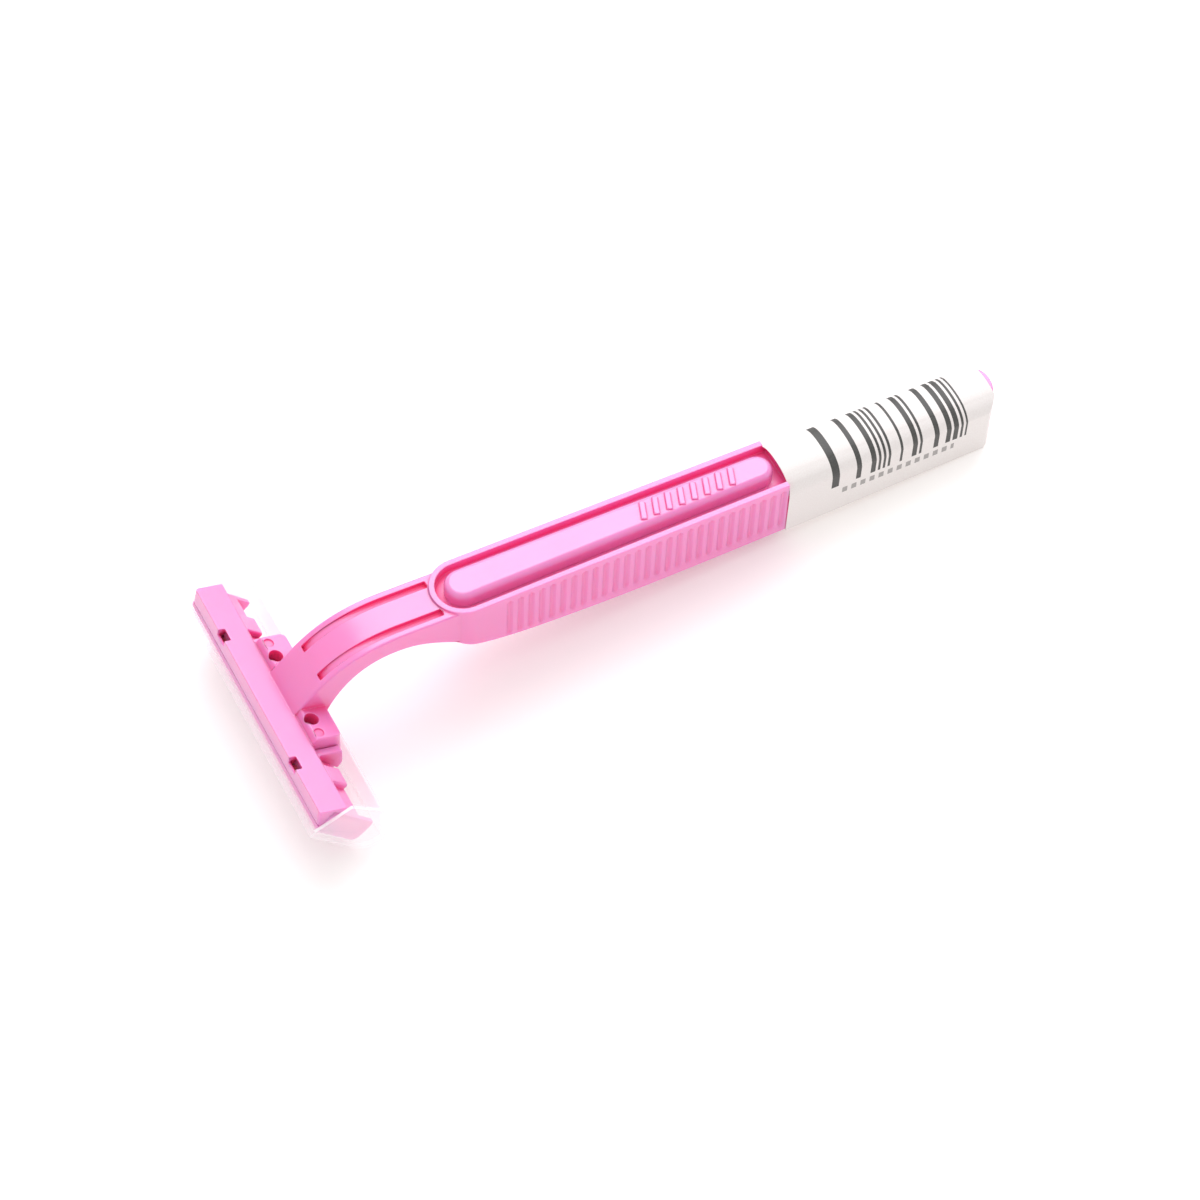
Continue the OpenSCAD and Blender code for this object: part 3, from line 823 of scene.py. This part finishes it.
def makeClear():
    # clear polystyrene: see-through where it faces you, glossy, with a painted white highlight at its edges and
    # bends and on the marked rim faces
    mat, tree, skin = startMaterial("clearPlastic")
    link = tree.links.new
    surface = addPlastic(tree, skin, {"Colour": (0.97, 0.965, 0.97, 1), "Crease Colour": (0.9, 0.88, 0.9, 1),
                                      "Crease Amount": 0.0, "Gloss": 0.04, "Gloss Spread": 0.12,
                                      "Grain Height": 0.04})
    skin.inputs["IOR"].default_value = 1.5
    skin.inputs["Specular IOR Level"].default_value = 0.7
    # painted highlight: the white lit skin takes over from the see-through where the surface turns away from
    # view
    facing = newNode(tree, "LayerWeight", -420, 560)
    facing.inputs["Blend"].default_value = clear["bend"]
    share = newNode(tree, "MapRange", -200, 560)
    share.inputs["To Min"].default_value = clear["faceHighlight"]
    share.inputs["To Max"].default_value = clear["edgeHighlight"]
    # painted highlight on the rim faces marked in makeGuard
    rim = newNode(tree, "Attribute", -420, 760, attribute_name="rim")
    highlightShare = newNode(tree, "Math", 0, 640, operation="MAXIMUM")
    rimHighlightShare = newNode(tree, "Math", -200, 760, operation="MULTIPLY")
    rimHighlightShare.inputs[1].default_value = clear["rimHighlight"]
    link(rim.outputs["Fac"], rimHighlightShare.inputs[0])
    link(rimHighlightShare.outputs[0], highlightShare.inputs[1])
    through = newNode(tree, "BsdfTransparent", 0, 420)
    through.inputs["Color"].default_value = (0.995, 0.995, 0.995, 1)
    # painted glow: the clear skin gives off its own pale colour, as if light were piped through it
    link(surface.outputs["Colour"], skin.inputs["Emission Color"])
    skin.inputs["Emission Strength"].default_value = clear["glow"]
    both = newNode(tree, "MixShader", 320, 300)
    end = tree.nodes["Material Output"]
    end.location = (560, 300)
    link(facing.outputs["Facing"], share.inputs["Value"])
    link(share.outputs["Result"], highlightShare.inputs[0])
    link(highlightShare.outputs[0], both.inputs[0])
    link(through.outputs["BSDF"], both.inputs[1])
    link(skin.outputs["BSDF"], both.inputs[2])
    link(both.outputs["Shader"], end.inputs["Surface"])
    return mat


bars = {"from": 59.6, "to": 81.9, "module": 0.4, "seed": 1052, "dark": 0.45, "farY": 3.7, "lowZ": -4.6,
        "marksFrom": 61.5, "marksTo": 80.0, "marksTop": -5.4, "marksLow": -6.5, "markPitch": 1.5,
        "markShare": 0.55, "markInk": 0.6}


def makePaper():
    mat, tree, skin = startMaterial("labelPaper")
    new, link = (lambda *a, **k: newNode(tree, *a, **k)), tree.links.new

    def number(operation, a, b, x, y):
        node = new("Math", x, y, operation=operation)
        for socket, value in zip(node.inputs, (a, b)):
            if isinstance(value, (int, float)):
                socket.default_value = value
            elif value is not None:
                link(value, socket)
        return node.outputs[0]

    def keep(mask, x, y, limits):
        # what is left of a mask inside the limits
        for i, (operation, axis, limit) in enumerate(limits):
            inside = number(operation, axis, limit, x - 340, y - 140 - 120 * i)
            mask = number("MULTIPLY", mask, inside, x + 140 * i, y)
        return mask

    place = new("TexCoord", -1900, 0)
    ruler = new("Mapping", -1700, 0, vector_type="TEXTURE")   # millimetres in the grip's frame
    ruler.inputs["Location"].default_value = gripOrigin / 1000
    ruler.inputs["Rotation"].default_value = (0, tilt, 0)
    ruler.inputs["Scale"].default_value = (0.001, 0.001, 0.001)
    link(place.outputs["Object"], ruler.inputs["Vector"])
    axes = new("SeparateXYZ", -1500, 0)
    link(ruler.outputs["Vector"], axes.inputs["Vector"])
    alongX, acrossY, downZ = axes.outputs

    step = number("FLOOR", number("DIVIDE", alongX, bars["module"], -1450, 300), None, -1300, 300)
    step = number("ADD", step, bars["seed"], -1150, 300)
    dice = new("TexWhiteNoise", -1000, 300, noise_dimensions="1D")
    link(step, dice.inputs["W"])
    ink = number("LESS_THAN", dice.outputs["Value"], bars["dark"], -820, 300)
    ink = keep(ink, -660, 260, (("GREATER_THAN", alongX, bars["from"]), ("LESS_THAN", alongX, bars["to"]),
                                ("LESS_THAN", acrossY, bars["farY"]), ("GREATER_THAN", downZ, bars["lowZ"])))
    # a row of plain dashes under the bars
    beat = number("FRACT", number("DIVIDE", alongX, bars["markPitch"], -1300, -420), None, -1150, -420)
    dash = number("LESS_THAN", beat, bars["markShare"], -1000, -420)
    dash = keep(dash, -660, -420, (("GREATER_THAN", alongX, bars["marksFrom"]),
                                   ("LESS_THAN", alongX, bars["marksTo"]), ("LESS_THAN", acrossY, 0),
                                   ("LESS_THAN", downZ, bars["marksTop"]),
                                   ("GREATER_THAN", downZ, bars["marksLow"])))
    ink = number("MAXIMUM", ink, number("MULTIPLY", dash, bars["markInk"], -100, -300), 0, 0)

    fibres = new("TexNoise", -820, 620)
    fibres.inputs["Scale"].default_value = 5000
    fibres.inputs["Detail"].default_value = 6
    link(place.outputs["Object"], fibres.inputs["Vector"])
    paper = new("ValToRGB", -600, 620)
    paper.color_ramp.elements[0].color = (0.84, 0.78, 0.76, 1)
    paper.color_ramp.elements[0].position = 0.3
    paper.color_ramp.elements[1].color = (0.89, 0.85, 0.83, 1)
    paper.color_ramp.elements[1].position = 0.7
    link(fibres.outputs["Fac"], paper.inputs["Fac"])
    inkTone = new("ValToRGB", -600, 860)
    inkTone.color_ramp.elements[0].color = (0.03, 0.03, 0.03, 1)
    inkTone.color_ramp.elements[1].color = (0.11, 0.108, 0.10, 1)
    link(fibres.outputs["Fac"], inkTone.inputs["Fac"])
    printed = new("Mix", 160, 300, data_type="RGBA")
    share, one, two, colour = colourSockets(printed)
    link(ink, share)
    link(paper.outputs["Color"], one)
    link(inkTone.outputs["Color"], two)
    link(colour, skin.inputs["Base Color"])
    gloss = number("MULTIPLY_ADD", fibres.outputs["Fac"], 0.25, 160, -100)
    gloss.node.inputs[2].default_value = 0.36
    link(gloss, skin.inputs["Roughness"])
    bump = new("Bump", 160, -320)
    bump.inputs["Strength"].default_value = 0.12
    bump.inputs["Distance"].default_value = 0.00004
    link(fibres.outputs["Fac"], bump.inputs["Height"])
    link(bump.outputs["Normal"], skin.inputs["Normal"])
    skin.location = (420, 300)
    tree.nodes["Material Output"].location = (720, 300)
    return mat


def makeSteel(name, tone, streak):
    # ground metal: fine lines across the strip with small changes of tone
    mat, tree, skin = startMaterial(name)
    new, link = (lambda *a, **k: newNode(tree, *a, **k)), tree.links.new
    place = new("TexCoord", -1000, 0)
    stretch = new("Mapping", -820, 0)
    stretch.inputs["Scale"].default_value = streak
    link(place.outputs["Object"], stretch.inputs["Vector"])
    lines = new("TexNoise", -620, 0)
    lines.inputs["Scale"].default_value = 1.0
    lines.inputs["Detail"].default_value = 6
    link(stretch.outputs["Vector"], lines.inputs["Vector"])
    ramp = new("ValToRGB", -400, 160)
    ramp.color_ramp.elements[0].color = (*[t * 0.82 for t in tone], 1)
    ramp.color_ramp.elements[0].position = 0.3
    ramp.color_ramp.elements[1].color = (*tone, 1)
    ramp.color_ramp.elements[1].position = 0.7
    link(lines.outputs["Fac"], ramp.inputs["Fac"])
    link(ramp.outputs["Color"], skin.inputs["Base Color"])
    rough = new("MapRange", -400, -120)
    rough.inputs["To Min"].default_value = 0.18
    rough.inputs["To Max"].default_value = 0.42
    link(lines.outputs["Fac"], rough.inputs["Value"])
    link(rough.outputs["Result"], skin.inputs["Roughness"])
    bump = new("Bump", -220, -360)
    bump.inputs["Strength"].default_value = 0.15
    bump.inputs["Distance"].default_value = 0.00002
    link(lines.outputs["Fac"], bump.inputs["Height"])
    link(bump.outputs["Normal"], skin.inputs["Normal"])
    skin.inputs["Metallic"].default_value = 1.0
    return mat


putOn(handle, makePlastic("pinkHandle"))
putOn(gripPanel, makePlastic("pinkPanel"))
pinkHead = makePlastic("pinkHead")
putOn(seat, pinkHead)
putOn(cap, pinkHead)
putOn(barLabel, makePaper())
putOn(clearGuard, makeClear())
# the blades and their spacer keep their own shapes
bladeSteel = makeSteel("groundSteel", (0.66, 0.67, 0.69), (2500, 90, 2500))
putOn(frame["nodes"]["lower_blade"], bladeSteel)
putOn(frame["nodes"]["upper_blade"], bladeSteel)
putOn(frame["nodes"]["blade_spacer"], makeSteel("rolledAluminium", (0.74, 0.74, 0.75), (400, 1800, 400)))
print("materials on")


# The table, the camera and the lights

table = {"size": 3.0, "glow": 0.3, "warmth": (1, 0.92, 0.9, 1)}
deselectAll()
bpy.ops.mesh.primitive_plane_add(size=table["size"])
floor = bpy.context.object
floor.name = "table"


def makeTable():
    mat, tree, skin = startMaterial("paleTable")
    link = tree.links.new
    place = newNode(tree, "TexCoord", -900, 0)
    patches = newNode(tree, "TexNoise", -700, 0)
    patches.inputs["Scale"].default_value = 30
    tone = newNode(tree, "ValToRGB", -460, 0)
    tone.color_ramp.elements[0].color = (0.86, 0.855, 0.845, 1)
    tone.color_ramp.elements[1].color = (0.88, 0.878, 0.872, 1)
    link(place.outputs["Object"], patches.inputs["Vector"])
    link(patches.outputs["Fac"], tone.inputs["Fac"])
    link(tone.outputs["Color"], skin.inputs["Base Color"])
    skin.inputs["Roughness"].default_value = 0.6
    skin.inputs["Specular IOR Level"].default_value = 0.2
    warmth = newNode(tree, "Mix", -200, -200, data_type="RGBA", blend_type="MULTIPLY")
    share, one, two, warm = colourSockets(warmth)
    share.default_value = 1
    two.default_value = table["warmth"]
    link(tone.outputs["Color"], one)
    link(warm, skin.inputs["Emission Color"])
    skin.inputs["Emission Strength"].default_value = table["glow"]
    return mat


putOn(floor, makeTable())

# the camera's place and turn are given in the grip's frame, in millimetres and degrees
shot = {"azimuth": 29.886, "elevation": 53.965, "roll": 3.2524, "lens": 114.0,
        "position": (-133.484, -276.455, 421.694)}


def addCamera():
    az, el, roll = (radians(shot[k]) for k in ("azimuth", "elevation", "roll"))
    look = Vector((sin(az) * cos(el), cos(az) * cos(el), -sin(el)))
    level = Vector((cos(az), -sin(az), 0))
    upward = level.cross(look)
    right = cos(roll) * level + sin(roll) * upward
    up = right.cross(look)
    bpy.ops.object.camera_add(location=toRest @ Vector(shot["position"]))
    cam = bpy.context.object
    cam.rotation_euler = (layDown.to_3x3() @ Matrix((right, up, -look)).transposed()).to_euler()
    cam.data.lens = shot["lens"]
    cam.data.sensor_width = 36
    cam.data.clip_start = 0.01
    bpy.context.scene.camera = cam


def addSoftbox(name, place, aim, size, power, tint=(1, 1, 1)):
    bpy.ops.object.light_add(type="AREA", location=place)
    lamp = bpy.context.object
    lamp.name = name
    lamp.rotation_euler = (Vector(aim) - Vector(place)).to_track_quat("-Z", "Y").to_euler()
    lamp.data.shape = "RECTANGLE"
    lamp.data.size, lamp.data.size_y = size
    lamp.data.energy = power
    lamp.data.color = tint


deselectAll()
addCamera()
addSoftbox("mainSoftbox", (0.36, 0.53, 0.77), (0, 0, 0), (0.85, 0.7), 6.5, (0.97, 0.96, 1))
addSoftbox("topSoftbox", (-0.1, -0.1, 1.0), (0, 0, 0), (0.9, 0.9), 1.5)
world = bpy.data.worlds.new("paleRoom")
world.use_nodes = True
world.node_tree.nodes["Background"].inputs["Color"].default_value = (1, 1, 1, 1)
world.node_tree.nodes["Background"].inputs["Strength"].default_value = 0.68
bpy.context.scene.world = world
bpy.context.scene.view_settings.view_transform = "Standard"
print("table, camera and lights set")
